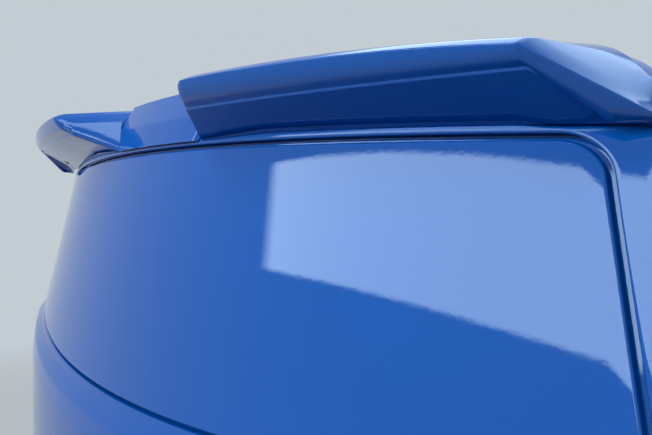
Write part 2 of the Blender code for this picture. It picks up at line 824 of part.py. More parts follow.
def strut_cylinder(name, side, finish, parent):
    """Gas strut's tube with the eye that turns on the body bracket's pin."""
    direction, _ = strut_direction()
    foot = Vector((side * strut_x(), strut_foot_y, strut_foot_z))
    eye = prism(name + "_eye", circle((foot.y, foot.z), eye_radius), "X",
                foot.x - eye_width / 2, foot.x + eye_width / 2)
    neck_end = tube_start + tube_radius
    tube = turned_bar(name + "_tube", foot, direction, (
        (eye_radius * 0.7, rod_radius), (tube_start, rod_radius), (tube_start, tube_radius * 0.8),
        (tube_start + tube_radius * 0.2, tube_radius), (tube_length - tube_radius * 0.2,
                                                        tube_radius),
        (tube_length, tube_radius * 0.8)))
    bore = prism(name + "_bore", circle((foot.y, foot.z), eye_bore), "X",
                 foot.x - eye_width, foot.x + eye_width)
    well = turned_bar(name + "_well", foot, direction, (
        (neck_end, rod_radius + running_gap), (tube_length + tube_radius, rod_radius + running_gap)))
    made = join_solids(name, [tube, eye], finish, parent)
    cut(made, bore)
    cut(made, well)
    return made


def strut_rod(name, side, finish, parent):
    """Rod that slides out of the tube, with its eye beside the gate's stud."""
    direction, length = strut_direction()
    foot = Vector((side * strut_x(), strut_foot_y, strut_foot_z))
    head = foot + direction * length
    start = tube_start + tube_radius + rod_insertion
    rod = turned_bar(name + "_bar", foot, direction, (
        (start, rod_radius), (length - eye_radius * 0.7, rod_radius)))
    eye = prism(name + "_eye", circle((head.y, head.z), eye_radius), "X",
                head.x - eye_width / 2, head.x + eye_width / 2)
    return join_solids(name, [rod, eye], finish, parent)


def gate_stud(name, side, finish, parent):
    """Plate on the inner frame with a stud that points outboard at the strut's eye."""
    inner_end = strut_x() - eye_width / 2 - seat_gap
    plate_x = inner_end - stud_reach - stud_plate
    far_x = plate_x + stud_plate
    low = frame_point(far_x, strut_head_z - stud_plate_half, frame_wall + curve_gap)
    high = frame_point(far_x, strut_head_z + stud_plate_half, frame_wall + curve_gap)
    outline = [
        (low.y, low.z),
        (strut_head_y, strut_head_z - stud_radius * 2),
        (strut_head_y + stud_radius * 2, strut_head_z),
        (strut_head_y, strut_head_z + stud_radius * 2),
        (high.y, high.z),
    ]
    plate = prism(name + "_plate", outline, "X", side * plate_x, side * (plate_x + stud_plate))
    pin = prism(name + "_pin", circle((strut_head_y, strut_head_z), stud_radius), "X",
                side * (plate_x + stud_plate / 2), side * inner_end)
    return join_solids(name, [plate, pin], finish, parent)


def strut_bracket(name, side, finish):
    """Body bracket outboard of the strut's foot, with the foot's pin."""
    inner = strut_x() + eye_width / 2 + bracket_gap
    plate = prism(
        name + "_plate",
        box_outline(strut_foot_y - bracket_half, strut_foot_y + bracket_half,
                    strut_foot_z - bracket_half, strut_foot_z + bracket_half, bracket_half / 3),
        "X", side * inner, side * (inner + bracket_wall))
    pin = prism(name + "_pin", circle((strut_foot_y, strut_foot_z), stud_radius), "X",
                side * (strut_x() - eye_width / 2), side * (inner + bracket_wall / 2))
    collar = prism(name + "_collar", circle((strut_foot_y, strut_foot_z), stud_radius * 2), "X",
                   side * (strut_x() + eye_width / 2 + running_gap),
                   side * (inner + bracket_wall / 2))
    return join_solids(name, [plate, pin, collar], finish)


def latch(finish, parent):
    """Latch body on the inner frame, with the mouth that takes the van's striker."""
    top, bottom = latch_level + latch_height / 2, latch_level - latch_height / 2
    seats = [top] + [row[0] for row in skin_rows if bottom < row[0] < top] + [bottom]
    face = frame_point(latch_half, bottom, frame_wall + curve_gap).y + latch_depth
    sections = []
    for x in (-latch_half, 0.0, latch_half):
        rear = [frame_point(x, level, frame_wall + curve_gap) for level in seats]
        sections.append(rear + [Vector((x, face, bottom)), Vector((x, face, top))])
    body = loft_solid("latch", sections, finish, parent, False)
    mouth = box_outline(face - latch_mouth_depth, face + latch_depth,
                        latch_level - latch_mouth / 2, latch_level + latch_mouth / 2)
    cut(body, prism("mouth_cutter", mouth, "X", -latch_mouth_half, latch_mouth_half))
    return body


def buffer(name, side, finish, parent):
    """Rubber stop that stands square on the inner frame's lower corner."""
    place_x = side * (row_at(buffer_level)[3] - buffer_margin)
    place, normal = frame_seat(place_x, buffer_level, curve_gap)
    stations = ((0.0, buffer_radius), (buffer_length * 0.3, buffer_radius),
                (buffer_length, buffer_tip_radius))
    return turned_bar(name, place, normal, stations, finish, parent)


def pull_strap(finish, parent):
    """Loop of webbing for pulling the gate down."""
    depth = frame_depth + frame_wall + curve_gap * 2 + lining_wall + lining_crown
    steps = 12
    outer, inner = [], []
    for step in range(steps + 1):
        share = step / steps
        x = strap_x + strap_length * (share - 0.5)
        face = skin_point(x, strap_level - strap_width / 2, depth).y
        rise = strap_rise * sin(pi * share) ** 0.7
        outer.append((x, face + strap_wall + rise))
        inner.append((x, face + rise))
    return prism("pull_strap", outer + inner[::-1], "Z", strap_level - strap_width / 2,
                 strap_level + strap_width / 2, finish, parent)


def build():
    """Make every node."""
    for old in list(bpy.data.objects):
        bpy.data.objects.remove(old)
    paint = material("body_paint", (0.0, 0.094, 0.474), 0.18, 0.0, 1.0)
    inner_paint = material("inner_paint", (0.0, 0.080, 0.400), 0.35)
    black = material("black_plastic", (0.02, 0.02, 0.022), 0.5)
    rubber = material("rubber", (0.012, 0.012, 0.013), 0.8)
    steel = material("steel", (0.45, 0.46, 0.48), 0.35, 1.0)
    lens = material("lens", (0.8, 0.82, 0.85), 0.1)

    gate = pivot("gate_pivot", (0.0, 0.0, 0.0))
    outer_skin(paint, gate)
    blank_panel(paint, gate)
    window_rebate(paint, gate)
    panel_seal(rubber, gate)
    inner_frame(inner_paint, gate)
    inner_lining(black, gate)
    handle_strip(black, gate)
    spoiler_centre(paint, gate)
    pull_strap(black, gate)
    latch(steel, gate)
    for word, side in (("left", -1), ("right", 1)):
        spoiler_half("spoiler_" + word, side, paint, gate)
        plate_lamp("plate_lamp_" + word, side, lens, gate)
        hinge_arm("hinge_arm_" + word, side, steel, gate)
        hinge_leaf("hinge_leaf_" + word, side, steel)
        buffer("buffer_" + word, side, rubber, gate)
        gate_stud("strut_stud_" + word, side, steel, gate)
        strut_bracket("strut_bracket_" + word, side, steel)
        foot = pivot("strut_pivot_" + word, (side * strut_x(), strut_foot_y, strut_foot_z))
        strut_cylinder("strut_cylinder_" + word, side, black, foot)
        strut_rod("strut_rod_" + word, side, steel, foot)


build()
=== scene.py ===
"""Looks for the van tailgate: finer body-colour pieces, materials, studio and camera."""

from math import cos, pi, radians, sin, sqrt

import bmesh
import bpy
from mathutils import Matrix, Vector


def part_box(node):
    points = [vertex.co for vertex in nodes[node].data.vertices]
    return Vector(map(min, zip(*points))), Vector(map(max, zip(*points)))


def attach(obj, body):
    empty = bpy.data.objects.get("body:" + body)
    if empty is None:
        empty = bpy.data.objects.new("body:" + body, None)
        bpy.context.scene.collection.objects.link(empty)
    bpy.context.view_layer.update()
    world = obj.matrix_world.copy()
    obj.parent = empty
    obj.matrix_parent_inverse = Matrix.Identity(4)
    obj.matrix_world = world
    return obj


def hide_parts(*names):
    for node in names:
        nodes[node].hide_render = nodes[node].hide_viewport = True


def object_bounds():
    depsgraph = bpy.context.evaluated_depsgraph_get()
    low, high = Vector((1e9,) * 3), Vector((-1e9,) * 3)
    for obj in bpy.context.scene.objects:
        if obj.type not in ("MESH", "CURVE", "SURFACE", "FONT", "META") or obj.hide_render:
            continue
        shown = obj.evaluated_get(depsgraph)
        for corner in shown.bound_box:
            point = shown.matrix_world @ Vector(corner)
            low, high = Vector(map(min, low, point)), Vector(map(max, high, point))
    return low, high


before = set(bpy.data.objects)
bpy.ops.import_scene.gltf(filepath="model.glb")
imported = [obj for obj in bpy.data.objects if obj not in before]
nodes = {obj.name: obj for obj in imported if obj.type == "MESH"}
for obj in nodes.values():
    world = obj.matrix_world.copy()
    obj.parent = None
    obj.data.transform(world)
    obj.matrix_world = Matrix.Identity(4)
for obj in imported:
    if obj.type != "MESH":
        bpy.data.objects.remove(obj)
cad_box = [list(corner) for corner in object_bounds()]
GATE = "tailgate"
SIDES = (("left", -1), ("right", 1))

# Sizes of the CAD part, in metres. The panel's upper corners are tighter here than there
bow_half, bow_depth = 0.700, 0.1156
gate_top_radius, gate_bottom_radius = 0.062, 0.070
skin_roll, skin_flange, top_flange = 0.006, 0.030, 0.016
roof_level, ridge_level, crease_level, header_level = 0.047, 0.043, 0.006, -0.033
foot_level = -1.250
header_setback, header_drop = 0.154, 0.021
roof_half = 0.706
panel_top, panel_bottom = -0.042, -0.395
panel_margin_top, panel_margin_bottom = 0.0464, 0.0253
panel_top_radius, panel_bottom_radius = 0.034, 0.060
panel_wall, groove = 0.0050, 0.0068
rebate_depth, rebate_ledge, frame_depth = 0.0150, 0.024, 0.045
recess_top, recess_bottom, recess_half = -0.830, -0.965, 0.275
recess_depth, recess_ramp = 0.014, 0.012

# Columns: level, set-back, bow, drop at bow_half, half width
skin_rows = (
    (roof_level, 0.045, 0.040, 0.030, roof_half),
    (ridge_level, 0.119, bow_depth, 0.030, 0.709),
    (crease_level, 0.144, bow_depth, 0.028, 0.718),
    (header_level, header_setback, bow_depth, header_drop, 0.727),
    (-0.409, 0.2365, bow_depth, -0.038, 0.786),
    (-0.432, 0.255, bow_depth, -0.036, 0.790),
    (-0.460, 0.261, bow_depth, -0.028, 0.790),
    (-0.740, 0.267, bow_depth, 0.0, 0.787),
    (-1.050, 0.256, bow_depth, 0.0, 0.776),
    (-1.190, 0.228, bow_depth, 0.0, 0.766),
    (foot_level, 0.192, bow_depth, 0.0, 0.752),
)


# Materials

class NodeKit:
    """Short ways to add and join nodes of a material, lamp or world."""

    def __init__(self, owner):
        owner.use_nodes = True
        self.tree = owner.node_tree

    def join(self, value, socket):
        """Link an output to a socket, or set the socket to a constant."""
        if isinstance(value, bpy.types.NodeSocket):
            self.tree.links.new(value, socket)
        else:
            socket.default_value = value

    def add(self, kind, **values):
        """New node; a value goes to the input of its name, or else to the setting."""
        node = self.tree.nodes.new("ShaderNode" + kind)
        for key, value in values.items():
            title = key.replace("_", " ")
            if title in node.inputs:
                self.join(value, node.inputs[title])
            else:
                setattr(node, key, value)
        return node

    def calculate(self, operation, *terms, clamp=False):
        """Output of a Math node over its terms."""
        node = self.add("Math", operation=operation, use_clamp=clamp)
        for term, socket in zip(terms, node.inputs):
            self.join(term, socket)
        return node.outputs[0]

    def mixed(self, share, first, second):
        """Shader between two shaders by a share."""
        node = self.add("MixShader", Fac=share)
        self.join(first, node.inputs[1])
        self.join(second, node.inputs[2])
        return node.outputs[0]


class Look(NodeKit):
    """The nodes of a new material, round its Principled shader."""

    def __init__(self, name):
        self.material = bpy.data.materials.new(name)
        super().__init__(self.material)
        self.shader = self.tree.nodes["Principled BSDF"]
        self.coordinates = self.place()

    def shade(self, **values):
        """Set the shader's inputs, named with underscores; returns the material."""
        for key, value in values.items():
            self.join(value, self.shader.inputs[key.replace("_", " ")])
        return self.material

    def place(self, scale=(1.0, 1.0, 1.0)):
        """Object coordinates, stretched by a scale."""
        coordinates = self.add("TexCoord").outputs["Object"]
        return self.add("Mapping", Vector=coordinates, Scale=scale).outputs["Vector"]

    def noise(self, scale, detail=3.0, roughness=0.5, stretch=None):
        """Noise value over the coordinates, or over stretched ones."""
        vector = self.place(stretch) if stretch else self.coordinates
        node = self.add("TexNoise", Vector=vector, Scale=scale, Detail=detail, Roughness=roughness)
        return node.outputs["Fac"]

    def wave(self, scale, direction):
        """Value of parallel waves along a direction."""
        node = self.add("TexWave", Vector=self.coordinates, Scale=scale, bands_direction=direction)
        return node.outputs["Fac"]

    def mapped(self, value, to_low, to_high, low=0.3, high=0.7):
        """Value carried from one range to another."""
        node = self.add("MapRange", Value=value, From_Min=low, From_Max=high, To_Min=to_low,
                        To_Max=to_high)
        return node.outputs["Result"]

    def blended(self, share, first, second):
        """Colour between two colours by a share."""
        node = self.add("Mix", data_type="RGBA", Factor=share, A=(*first, 1.0), B=(*second, 1.0))
        return node.outputs["Result"]

    def bumped(self, height, strength, distance, **below):
        """Bump normal from a height value."""
        node = self.add("Bump", Strength=strength, Distance=distance, Height=height, **below)
        return node.outputs["Normal"]


def body_paint(name, base, deep, coat, roughness, peel):
    """Solid gloss paint under clear coat, with orange peel and a trace of dust."""
    look = Look(name)
    tone = look.mapped(look.noise(scale=2.5), 0.0, 1.0)
    dust = look.noise(scale=9.0, detail=5.0, roughness=0.6)
    sag = look.bumped(look.noise(scale=14.0, detail=1.0), strength=0.25, distance=peel * 6)
    peeled = look.bumped(look.noise(scale=170.0, detail=2.0), strength=0.35, distance=peel,
                         Normal=sag)
    return look.shade(Base_Color=look.blended(tone, deep, base),
                      Roughness=look.mapped(dust, roughness, roughness * 1.35, high=0.75),
                      Normal=peeled, Coat_Normal=peeled, Coat_Weight=coat, Coat_Roughness=0.02,
                      Coat_IOR=1.46, Specular_IOR_Level=0.0)


def grained_plastic(name, base, roughness, grain, depth):
    """Moulded plastic with a fine leather-like grain."""
    look = Look(name)
    cells = look.add("TexVoronoi", feature="SMOOTH_F1", Vector=look.coordinates, Scale=grain)
    tone = look.noise(scale=30.0, detail=4.0)
    darker = tuple(part * 0.7 for part in base)
    return look.shade(Base_Color=look.blended(tone, darker, base),
                      Roughness=look.mapped(tone, roughness * 0.85, roughness),
                      Normal=look.bumped(cells.outputs["Distance"], strength=0.5, distance=depth))


def rubber_material():
    """Dull black rubber with a dusty bloom."""
    look = Look("rubber_look")
    bloom = look.noise(scale=60.0, detail=6.0, roughness=0.65)
    return look.shade(
        Base_Color=look.blended(bloom, (0.010, 0.010, 0.011), (0.030, 0.030, 0.031)),
        Roughness=look.mapped(bloom, 0.6, 0.85, low=0.2, high=0.8),
        Normal=look.bumped(look.noise(scale=900.0), strength=0.3, distance=0.0002))


def plated_steel():
    """Zinc-plated steel with mottled crystals and faint rolling marks."""
    look = Look("plated_look")
    mottle = look.noise(scale=120.0, detail=5.0, roughness=0.6)
    rolled = look.noise(scale=6.0, detail=2.0, stretch=(30.0, 400.0, 30.0))
    return look.shade(Base_Color=look.blended(mottle, (0.27, 0.28, 0.29), (0.44, 0.45, 0.46)),
                      Roughness=look.mapped(mottle, 0.34, 0.50), Metallic=1.0,
                      Normal=look.bumped(rolled, strength=0.2, distance=0.0001))


def satin_black():
    """Satin black paint of the strut tubes."""
    look = Look("strut_look")
    peel = look.noise(scale=400.0, detail=2.0)
    tone = look.noise(scale=20.0, detail=4.0)
    return look.shade(
        Base_Color=look.blended(tone, (0.012, 0.012, 0.013), (0.022, 0.022, 0.024)),
        Normal=look.bumped(peel, strength=0.3, distance=0.0001), Roughness=0.32)


def rod_steel():
    """Ground and polished piston rod."""
    look = Look("rod_look")
    rings = look.noise(scale=3.0, detail=2.0, stretch=(1.0, 1.0, 900.0))
    return look.shade(Base_Color=look.blended(rings, (0.55, 0.56, 0.58), (0.68, 0.69, 0.70)),
                      Roughness=look.mapped(rings, 0.10, 0.20), Metallic=1.0)


def lens_material():
    """Clear ribbed lamp lens."""
    look = Look("lens_look")
    ribs = look.wave(scale=110.0, direction="X")
    tone = look.noise(scale=40.0)
    return look.shade(Base_Color=look.blended(tone, (0.75, 0.78, 0.80), (0.9, 0.92, 0.94)),
                      Normal=look.bumped(ribs, strength=0.5, distance=0.0005),
                      Roughness=0.12, Transmission_Weight=0.6, IOR=1.49)


def webbing_material():
    """Woven nylon webbing."""
    look = Look("webbing_look")
    warp = look.wave(scale=420.0, direction="Z")
    weft = look.wave(scale=300.0, direction="X")
    weave = look.calculate("MULTIPLY", warp, weft)
    return look.shade(
        Base_Color=look.blended(weave, (0.010, 0.010, 0.011), (0.040, 0.040, 0.043)),
        Normal=look.bumped(weave, strength=0.8, distance=0.0006),
        Roughness=0.75, Sheen_Weight=0.3)


# Finishes: material, slot
paint = (body_paint("body_paint_look", base=(0.0, 0.112, 0.460), deep=(0.0, 0.104, 0.425),
                    coat=1.0, roughness=0.40, peel=0.00004), "body_paint")
inner_paint = (body_paint("inner_paint_look", base=(0.0, 0.085, 0.420), deep=(0.0, 0.070, 0.370),
                          coat=0.3, roughness=0.42, peel=0.00012), "inner_paint")
plastic = (grained_plastic("plastic_look", base=(0.028, 0.028, 0.030), roughness=0.55,
                           grain=900.0, depth=0.0003), "black_plastic")
rubber = (rubber_material(), "rubber")
steel = (plated_steel(), "steel")


# Surface of the gate, with the creases of the CAD rows rounded

# Half widths of the band that rounds a crease: above the header, below it and on the belly,
# where it grows from a start over a reach and fades near the foot. All fade near the roof
crisp_crease, plain_crease, belly_crease = 0.0015, 0.004, 0.096
belly_start, belly_reach, foot_fade, roof_fade = -0.47, 0.15, 0.10, 0.003
crease_samples = 9


def clamped(share):
    """Share held between 0 and 1."""
    return min(max(share, 0.0), 1.0)


def even(start, end, count):
    """Evenly spaced places from start to end, both included."""
    return [start + (end - start) * step / count for step in range(count + 1)]


def row_at(level):
    """Set-back, bow, drop and half width at a level, read between the skin's rows."""
    if level >= skin_rows[0][0]:
        return skin_rows[0][1:]
    for upper, lower in zip(skin_rows, skin_rows[1:]):
        if level >= lower[0]:
            share = (upper[0] - level) / (upper[0] - lower[0])
            return tuple(a + (b - a) * share for a, b in zip(upper[1:], lower[1:]))
    return skin_rows[-1][1:]


def softness(level):
    """Half width of the band over which a crease at a level is rounded."""
    belly = clamped((belly_start - level) / belly_reach)
    near_foot = clamped((level - foot_level) / foot_fade)
    near_roof = clamped((roof_level - level) / roof_fade)
    crease = crisp_crease if level > header_level else plain_crease
    return (crease + belly_crease * belly * near_foot) * near_roof


def soft_row(level):
    """Row averaged over a band, so that creases turn into small radii."""
    width = softness(level)
    if width < 1e-6:
        return row_at(level)
    samples = [row_at(level + width * share) for share in even(-1, 1, crease_samples - 1)]
    return tuple(sum(column) / crease_samples for column in zip(*samples))


row_cache = {}


def skin_point(x, level, depth=0.0):
    """Point on the outer skin, or depth metres forward of it."""
    key = round(level * 1e7)
    if key not in row_cache:
        row_cache[key] = soft_row(level)
    setback, bow, drop, _ = row_cache[key]
    rise = (x / bow_half) ** 2
    return Vector((x, -setback + bow * rise + depth, level - drop * rise))


def corner_inset(level, top, bottom, top_radius, bottom_radius):
    """How far a rounded corner pulls a side in at a level."""
    for past, radius in ((level - (top - top_radius), top_radius),
                         ((bottom + bottom_radius) - level, bottom_radius)):
        if past > 0:
            return radius - sqrt(max(radius ** 2 - past ** 2, 0))
    return 0.0


def gate_half(level):
    """Half width of the gate at a level, with its rounded corners."""
    return soft_row(level)[3] - corner_inset(
        level, roof_level, foot_level, gate_top_radius, gate_bottom_radius)


def panel_half(level, grow):
    """Half width of the blank panel's outline, or of one grown round it."""
    top, bottom = panel_top + grow, panel_bottom - grow
    share = (panel_top - level) / (panel_top - panel_bottom)
    margin = panel_margin_top + (panel_margin_bottom - panel_margin_top) * share
    return row_at(level)[3] - margin + grow - corner_inset(
        level, top, bottom, panel_top_radius + grow, panel_bottom_radius + grow)


def corner_levels(top, bottom, top_radius, bottom_radius, steps):
    """Levels round the two corners of an outline, by equal angles."""
    turns = even(0, pi / 2, steps)
    upper = [top - top_radius * (1 - cos(turn)) for turn in turns]
    lower = [bottom + bottom_radius * (1 - cos(turn)) for turn in turns]
    return upper, lower[::-1]


panel_corner_steps, panel_side_steps, panel_columns = 14, 30, 96


def panel_levels(grow):
    """Levels of the panel's outline grown by a width, from the top down."""
    upper, lower = corner_levels(
        panel_top + grow, panel_bottom - grow,
        panel_top_radius + grow, panel_bottom_radius + grow, panel_corner_steps)
    return upper + even(upper[-1], lower[0], panel_side_steps)[1:-1] + lower


def panel_table(grow, depth):
    """Points over the panel's outline grown by a width, at a depth behind the skin."""
    return [[skin_point(share * panel_half(level, grow), level, depth)
             for share in even(-1, 1, panel_columns)] for level in panel_levels(grow)]


def border_of(table):
    """The border of a table, once round."""
    right = [row[-1] for row in table[1:]]
    left = [row[0] for row in table[-2:0:-1]]
    return table[0] + right + table[-1][-2::-1] + left


# Mesh helpers

def linked(name, content):
    """New object of some mesh, lamp or camera, in the scene."""
    made = bpy.data.objects.new(name, content)
    bpy.context.scene.collection.objects.link(made)
    return made


def new_object(name, shape):
    """Object of a bmesh in world space, with its faces turned outward."""
    bmesh.ops.recalc_face_normals(shape, faces=shape.faces)
    mesh = bpy.data.meshes.new(name)
    shape.to_mesh(mesh)
    shape.free()
    return linked(name, mesh)


def finish_mesh(name, shape, finish, node=None, angle=30, body=GATE):
    """Smooth piece of a bmesh that rides on a body and may replace a CAD node."""
    look, slot_name = finish
    made = new_object(name, shape)
    made.data.materials.append(look)
    made.data.shade_smooth()
    made.data.set_sharp_from_angle(angle=radians(angle))
    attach(made, body)
    if node:
        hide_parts(node)
    return made


def grid_faces(shape, points):
    """Quads over a table of points; returns the table of vertices."""
    verts = [[shape.verts.new(point) for point in row] for row in points]
    for upper, lower in zip(verts, verts[1:]):
        for column in range(len(upper) - 1):
            shape.faces.new((upper[column], upper[column + 1], lower[column + 1], lower[column]))
    return verts


def bridge(shape, loops, closed=False, capped=False):
    """Quads between loops of vertices; closed joins the last to the first, capped fills both."""
    followers = loops[1:] + loops[:1] if closed else loops[1:]
    for first, second in zip(loops, followers):
        for index, vert in enumerate(first):
            after = (index + 1) % len(first)
            shape.faces.new((vert, first[after], second[after], second[index]))
    if capped:
        shape.faces.new(loops[0])
        shape.faces.new(loops[-1])


def lofted(loops, **ends):
    """Bmesh of quads between loops of points."""
    shape = bmesh.new()
    bridge(shape, [[shape.verts.new(point) for point in loop] for loop in loops], **ends)
    return shape


def closed_sheet(tables):
    """Bmesh of two tables of points, joined round their borders."""
    shape = bmesh.new()
    bridge(shape, [border_of(grid_faces(shape, table)) for table in tables])
    return shape


def apply_modifiers(made):
    """Replace an object's mesh by its modified one."""
    graph = bpy.context.evaluated_depsgraph_get()
    mesh = bpy.data.meshes.new_from_object(made.evaluated_get(graph))
    made.modifiers.clear()
    made.data = mesh


def prism(outline, axis, start, end):
    """Plain cutter: an outline of (a, b) pairs along X or Y between two places."""
    order = {"X": lambda a, b, c: (c, a, b), "Y": lambda a, b, c: (a, c, b)}[axis]
    loops = [[order(a, b, c) for a, b in outline] for c in (start, end)]
    return new_object("cutter", lofted(loops, capped=True))


def cut_away(made, cutter, angle=30):
    """Boolean difference, applied at once."""
    step = made.modifiers.new("cut", "BOOLEAN")
    step.operation = "DIFFERENCE"
    step.solver = "EXACT"
    step.object = cutter
    apply_modifiers(made)
    bpy.data.objects.remove(cutter)
    made.data.set_sharp_from_angle(angle=radians(angle))


cutter_rear, cutter_front = -0.6, 0.3


def cut_window(made, grow):
    """Cut the panel's outline, grown by a width, through a sheet."""
    edge = border_of(panel_table(grow, 0.0))
    cut_away(made, prism([(p.x, p.z) for p in edge], "Y", cutter_rear, cutter_front))


def arc(centre, radius, start, end, steps):
    """Growth and depth along an arc, both ends included, angles in degrees."""
    return [(centre[0] + radius * cos(turn), centre[1] - radius * sin(turn))
            for turn in map(radians, even(start, end, steps))]


def spaced(segments):
    """Places through (start, end, step) segments."""
    places = []
    for start, end, step in segments:
        places += even(start, end, max(round(abs(end - start) / step), 1))[:-1]
    return places + [segments[-1][1]]


def mirrored(places):
    """Places from the middle to the right and their mirror images."""
    return [-spot for spot in reversed(places[1:])] + places


def smooth_step(share):
    """Share eased at both ends."""
    share = clamped(share)
    return share * share * (3 - 2 * share)


# Body-colour pieces

lip_radius, lip_strip, lip_return, lip_start = 0.0045, 0.003, 0.004, 0.0015
ledge_radius, ledge_gap = 0.003, 0.001
groove_wall_share = 0.6
panel_edge_radius = 0.0022
sheet = 0.0012
edge_steps = 6
# Columns of the skin: from the middle, closer at the recess's ends, then to the side
recess_fine_start, recess_fine_end = 0.255, 0.285
column_step, column_fine_step, side_columns = 0.015, 0.003, 34
# Levels of the skin, closer at its bends: start, end, step
skin_zones = (
    (roof_level, -0.048, 0.0025), (-0.048, -0.395, 0.0145), (-0.395, -0.475, 0.0025),
    (-0.475, -0.815, 0.020), (-0.815, -0.850, 0.0025), (-0.850, -0.945, 0.016),
    (-0.945, -0.975, 0.0025), (-0.975, -1.180, 0.017), (-1.180, foot_level, 0.005),
)


def skin_columns(half):
    """Places across the skin, close together at the plate recess's ends."""
    inside = spaced([(0.0, recess_fine_start, column_step),
                     (recess_fine_start, recess_fine_end, column_fine_step)])
    return mirrored(inside + even(recess_fine_end, half, side_columns)[1:])


def recess_share(x, level):
    """Share of the plate recess's depth at a place on the skin."""
    side = smooth_step((recess_half - abs(x)) / recess_ramp)
    upper = smooth_step((recess_top - level) / recess_ramp)
    lower = smooth_step((level - recess_bottom) / recess_ramp)
    return side * upper * lower


def rolled_edge(shape, ring, top_count):
    """Loops that roll an edge forward into a flange; its first top_count verts roll down."""
    loops = [ring]
    steps = [(turn, 0.0) for turn in even(0, 90, edge_steps)[1:]] + [(90, 0.5), (90, 1.0)]
    for turn, run in steps:
        out = skin_roll * sin(radians(turn))
        fall = skin_roll * (1 - cos(radians(turn)))
        loop = []
        for index, vert in enumerate(ring):
            along = ring[(index + 1) % len(ring)].co - ring[index - 1].co
            outward = Vector((-along.z, 0, along.x)).normalized()
            if index < top_count:
                shift = Vector((0, out, -(fall + (top_flange - skin_roll) * run)))
            else:
                shift = outward * out + Vector((0, fall + (skin_flange - skin_roll) * run, 0))
            loop.append(shape.verts.new(vert.co + shift))
        loops.append(loop)
    return loops


def outer_skin():
    """Pressed outer sheet with rolled edges, plate recess and window aperture."""
    table = [[skin_point(x, level, recess_depth * recess_share(x, level))
              for x in skin_columns(gate_half(level))] for level in spaced(skin_zones)]
    shape = bmesh.new()
    verts = grid_faces(shape, table)
    bridge(shape, rolled_edge(shape, border_of(verts), len(verts[0])))
    made = finish_mesh("skin_panel", shape, paint, "outer_skin")
    wall = made.modifiers.new("sheet", "SOLIDIFY")
    wall.thickness = sheet
    wall.offset = -1
    apply_modifiers(made)
    cut_window(made, groove + lip_radius + lip_strip)


def window_rebate():
    """Lip of the aperture, groove wall and ledge that carries the panel."""
    corner = groove + lip_radius
    floor_at = rebate_depth
    ledge_end = frame_depth - ledge_gap
    # Pairs: growth of the panel's outline, depth behind the skin
    section = [(corner + lip_strip, 0.0), (corner + lip_strip / 2, 0.0)]
    section += arc((corner, lip_radius), lip_radius, 90, 180, edge_steps)
    section += [(groove, floor_at * groove_wall_share)]
    section += arc((groove - ledge_radius, floor_at - ledge_radius), ledge_radius, 0, -90, edge_steps - 1)
    section += [(0.0, floor_at), (-rebate_ledge, floor_at), (-rebate_ledge, ledge_end),
                (-rebate_ledge + sheet, ledge_end), (-rebate_ledge + sheet, floor_at + sheet),
                (groove + sheet, floor_at + sheet), (groove + sheet, lip_return),
                (corner + lip_strip, lip_start)]
    loops = [border_of(panel_table(grow, depth)) for grow, depth in section]
    finish_mesh("aperture_lip", lofted(loops, closed=True), paint, "window_rebate", angle=50)


def blank_panel():
    """Body-colour panel in the rear window's place, with rolled edges."""
    radius = panel_edge_radius
    shape = bmesh.new()
    verts = grid_faces(shape, panel_table(-radius, 0.0))
    back = grid_faces(shape, panel_table(-radius, panel_wall))
    loops = [border_of(verts)]
    section = arc((-radius, radius), radius, 90, 0, edge_steps)[1:] + [(0.0, panel_wall)]
    for grow, depth in section:
        loops.append([shape.verts.new(point) for point in border_of(panel_table(grow, depth))])
    loops.append(border_of(back))
    bridge(shape, loops)
    finish_mesh("rear_panel", shape, paint, "blank_panel", angle=50)


# Spoiler. Its edge and lower crease stand 1.5 and 1.2 mm higher than in the CAD part

foot_in, waist_in, roof_in = 0.142, 0.162, 0.157
root_out = 0.690
spoiler_foot, foot_dip, foot_dip_share = -0.026, 0.0040, 0.25
tip_x, corner_x = 0.240, 0.6635
main_length = corner_x - tip_x
edge_level, edge_setback, edge_drop = 0.0327, 0.244, 0.0218
band_level, band_drop = 0.0042, 0.0068
band_lean_in, band_lean_out = 0.026, 0.0155
nose_run, nose_rise = 0.015, 0.0075
chamfer_run, chamfer_fall, chamfer_fade_share = 0.0006, 0.0025, 0.125
spoiler_skin, curve_gap = 0.005, 0.0008
side_end_share = 0.7
side_tip = Vector((0.7335, -0.055, -0.0415))
side_waist = Vector((0.7045, -0.066, -0.048))
side_low = Vector((0.7315, -0.0500, -0.0470))
side_root_x = 0.722
end_dip, end_dip_length = 0.0025, 0.020
corner_window, corner_samples = 0.0025, 7
core_share, draw_limit_share, round_limit_share = 0.12, 0.9, 0.45
# Trailing band, from its upper to its lower edge: inward share, fall share
band_shares = ((0.0, 0.0), (0.10, 0.26), (0.25, 0.52), (0.50, 0.78), (1.0, 1.0))
# Corners of a section, by their place in its list
FOOT, WAIST, RIDGE, CROWN, EDGE, CHAMFER = 0, 1, 2, 6, 7, 12
# How far each of them is rounded: root, top, crown, band, chamfer
section_reaches = (0.0015, 0.001, 0.001, 0.001, 0.004, 0.030, 0.012,
                   0.0014, 0.008, 0.008, 0.007, 0.0010, 0.0010)
round_steps = 5
# Inner end: how far its rim rolls in, over which length, and how far its face swells on rings
# that are drawn towards the core by shares
end_roll, roll_length, roll_steps, end_bulge = 0.0045, 0.006, 6, 0.0045
cap_shares = (0.96, 0.88, 0.76, 0.62, 0.47, 0.32, 0.19, 0.09, 0.03)
# Steps between sections: along the main run, round its corner, along the side, round its bend
main_step, corner_step, side_step, bend_step, tail_step = 0.009, 0.0011, 0.007, 0.002, 0.004
corner_start, corner_end, bend_reach = -0.012, 0.010, 0.008


